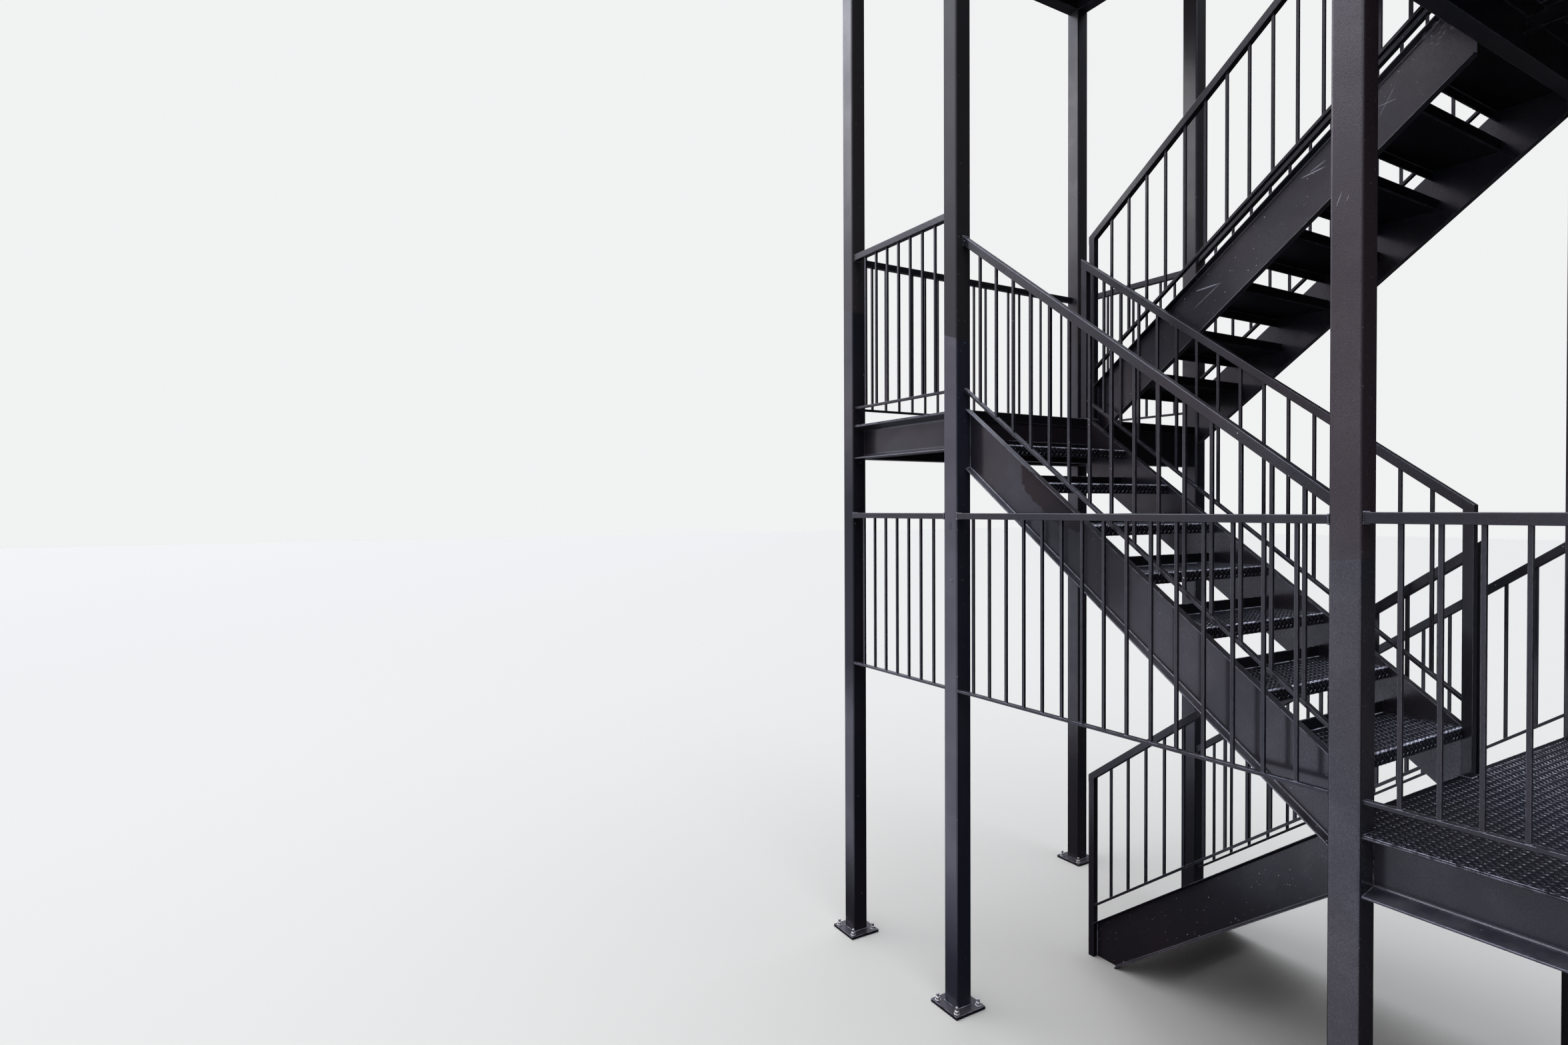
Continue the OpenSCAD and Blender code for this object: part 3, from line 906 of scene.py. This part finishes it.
def modelAnchor(s, baseT):
    deselectAll()
    nutFoot = baseT + s["washerT"]
    stud = cylinder(12, s["stud"], s["under"], baseT + s["over"])
    washer = cylinder(20, s["washer"], baseT, nutFoot)
    nut = cylinder(6, s["nutAcross"] / 2 / cos(pi / 6), nutFoot, nutFoot + s["nutT"])
    for body, width in zip((stud, washer, nut), s["chamfers"]):
        pick(body)
        bpy.ops.object.modifier_add(type="BEVEL")
        chamfer = body.modifiers[-1]
        chamfer.width, chamfer.segments = width, 1
        bpy.ops.object.modifier_apply(modifier=chamfer.name)
        settle(body)
    return joined("anchor", [stud, washer, nut])


anchor = modelAnchor(boltSettings, stair["baseT"])
half = stair["anchorGauge"] / 2
posts = [(sx * postX, y) for sx in (-1, 1) for y in (-postFarY, -postInY, postInY, postFarY)]
bolts = [copyOf(anchor, (x + dx * half, y + dy * half, 0), (0, 0, radians(boltSettings["turn"] * i)))
         for i, (x, y) in enumerate(posts) for dx in (-1, 1) for dy in (-1, 1)]
drop(anchor)
finishPiece(joined("anchor_bolts", bolts), boltZinc, boltSettings["smooth"])
print("anchor bolts: done")

# two plugs that close drilled holes in the second post
plugSettings = {
    "radius": 0.0095,
    "height": 0.0022,
    "rim": 0.6,  # share of the height that stands straight
    "dome": 0.3,  # share of the radius that slopes
    "z": 2.3037,
    "across": 0.0105,
    "smooth": 40,
}


def modelPlug(s):
    deselectAll()
    bpy.ops.mesh.primitive_circle_add(vertices=20, radius=s["radius"], fill_type="NGON", location=(0, 0, 0))
    plug = bpy.context.object
    rim = s["height"] * s["rim"]
    bpy.ops.object.mode_set(mode="EDIT")
    bpy.ops.mesh.select_all(action="SELECT")
    bpy.ops.mesh.extrude_region_move(TRANSFORM_OT_translate={"value": (0, 0, rim)})
    bpy.ops.mesh.inset(thickness=s["radius"] * s["dome"], depth=0)
    bpy.ops.transform.translate(value=(0, 0, s["height"] - rim))
    bpy.ops.mesh.select_all(action="SELECT")
    bpy.ops.mesh.normals_make_consistent(inside=False)
    bpy.ops.object.mode_set(mode="OBJECT")
    return plug


plug = modelPlug(plugSettings)
across, plugZ = plugSettings["across"], plugSettings["z"]
plugs = [copyOf(plug, (-outerX, postInY - across, plugZ), (0, radians(-90), 0)),
         copyOf(plug, (-postX - across, postInY - stair["postHalf"], plugZ), (radians(90), 0, 0))]
drop(plug)
finishPiece(joined("post_plugs", plugs), weldPaint, plugSettings["smooth"])
print("post plugs: done")

# floor and light
floorSettings = {
    "size": 160,
    "drop": 0.0015,
    "seen": (0.166, 0.161, 0.136, 1),  # pale to look at, yet the steel is lit by
    "shade": (0.004, 0.004, 0.004, 1),  # a dark floor under the stair
    "open": (0.285, 0.280, 0.290, 1),  # and a light one out on the open side
    "change": (-1.3, -2.3),  # X, from shade to open
    "rough": 0.85,
    "specular": 0.1,
}
lightSettings = {
    "seen": (0.88, 0.885, 0.89, 1),  # what the camera sees
    "skyTint": (0.90, 0.95, 1.13),
    "groundTint": (1.04, 0.95, 1.10),
    "overhead": 8.8,
    "overheadFrom": (0.34, 0.86),  # height of a direction
    "overheadCut": -0.30,  # it begins higher towards +X
    "corner": 1.5,  # low light in the open far corner
    "cornerWay": (-0.35, 0.94),
    "cornerWidth": (0.68, 0.92),
    "cornerHeight": (0.10, 0.42),
    "open": 1.20,  # level with the eye, on the open sides
    "shut": 0.012,  # and on the shaded ones
    "openWay": (-0.66, 0.75),
    "openWidth": (-0.35, 0.60),
    "drift": {"noise": (2.3, 3.0), "range": (0.35, 0.65), "least": 0.40, "most": 1.30},
    "lamps": [
        {"name": "left", "place": (-7.0, 7.5, 9.0), "aim": (0, 0.2, 3.0), "size": 3.0, "power": 150,
         "colour": (1.0, 0.98, 0.97)},
    ],
}


def makeFloor(s):
    deselectAll()
    bpy.ops.mesh.primitive_plane_add(size=s["size"], location=(0, 0, -s["drop"]))
    floor = bpy.context.object
    floor.name = "floor"
    material = bpy.data.materials.new("paleFloor")
    material.use_nodes = True
    tree = material.node_tree
    shader = tree.nodes["Principled BSDF"]
    seen = addNode(tree, "ShaderNodeLightPath").outputs["Is Camera Ray"]
    place = axes(tree, addNode(tree, "ShaderNodeTexCoord").outputs["Object"])
    thrown = mixColour(tree, between(tree, place["X"], *s["change"]), s["shade"], s["open"])
    tree.links.new(mixColour(tree, seen, thrown, s["seen"]), shader.inputs["Base Color"])
    shader.inputs["Roughness"].default_value = s["rough"]
    shader.inputs["Specular IOR Level"].default_value = s["specular"]
    floor.data.materials.append(material)


def makeSky(s):  # bright and overcast overhead, softer on the open sides, dark on the others
    world = bpy.data.worlds.new("world")
    bpy.context.scene.world = world
    world.use_nodes = True
    tree = world.node_tree
    direction = addNode(tree, "ShaderNodeTexCoord").outputs["Generated"]
    parts = axes(tree, direction)

    def towards(way):
        return maths(tree, "MULTIPLY_ADD", parts["X"], way[0], product(tree, parts["Y"], way[1]))

    low = between(tree, towards(s["openWay"]), *s["openWidth"], s["shut"], s["open"])
    uneven = noise(tree, direction, *s["drift"]["noise"])  # soft shapes for the gloss to show
    drift = between(tree, uneven, *s["drift"]["range"], s["drift"]["least"], s["drift"]["most"])
    shaded = maths(tree, "MAXIMUM", parts["X"], 0.0)
    height = maths(tree, "MULTIPLY_ADD", shaded, s["overheadCut"], parts["Z"])
    above = between(tree, height, *s["overheadFrom"], 0.0, s["overhead"])
    corner = product(tree, between(tree, towards(s["cornerWay"]), *s["cornerWidth"]),
                     between(tree, parts["Z"], *s["cornerHeight"]))
    high = maths(tree, "MULTIPLY_ADD", corner, s["corner"], above)
    layers = [addNode(tree, "ShaderNodeVectorMath", {0: tint, "Scale": value}, operation="SCALE").outputs[0]
              for tint, value in ((s["groundTint"], product(tree, low, drift)), (s["skyTint"], high))]
    sky = addNode(tree, "ShaderNodeVectorMath", {0: layers[0], 1: layers[1]}, operation="ADD").outputs[0]
    seen = addNode(tree, "ShaderNodeLightPath").outputs["Is Camera Ray"]
    tree.links.new(mixColour(tree, seen, sky, s["seen"]), tree.nodes["Background"].inputs["Color"])


def addLamp(lamp):
    data = bpy.data.lights.new(lamp["name"], "AREA")
    data.shape = "SQUARE"
    data.size = lamp["size"]
    data.energy = lamp["power"]
    data.color = lamp["colour"]
    made = bpy.data.objects.new(lamp["name"], data)
    made.location = lamp["place"]
    aim = Vector(lamp["aim"]) - Vector(lamp["place"])
    made.rotation_euler = aim.to_track_quat("-Z", "Y").to_euler()
    made.visible_camera = False
    bpy.context.scene.collection.objects.link(made)


makeFloor(floorSettings)
makeSky(lightSettings)
for lamp in lightSettings["lamps"]:
    addLamp(lamp)
bpy.context.scene.view_settings.view_transform = "Standard"
print("floor and light: done")
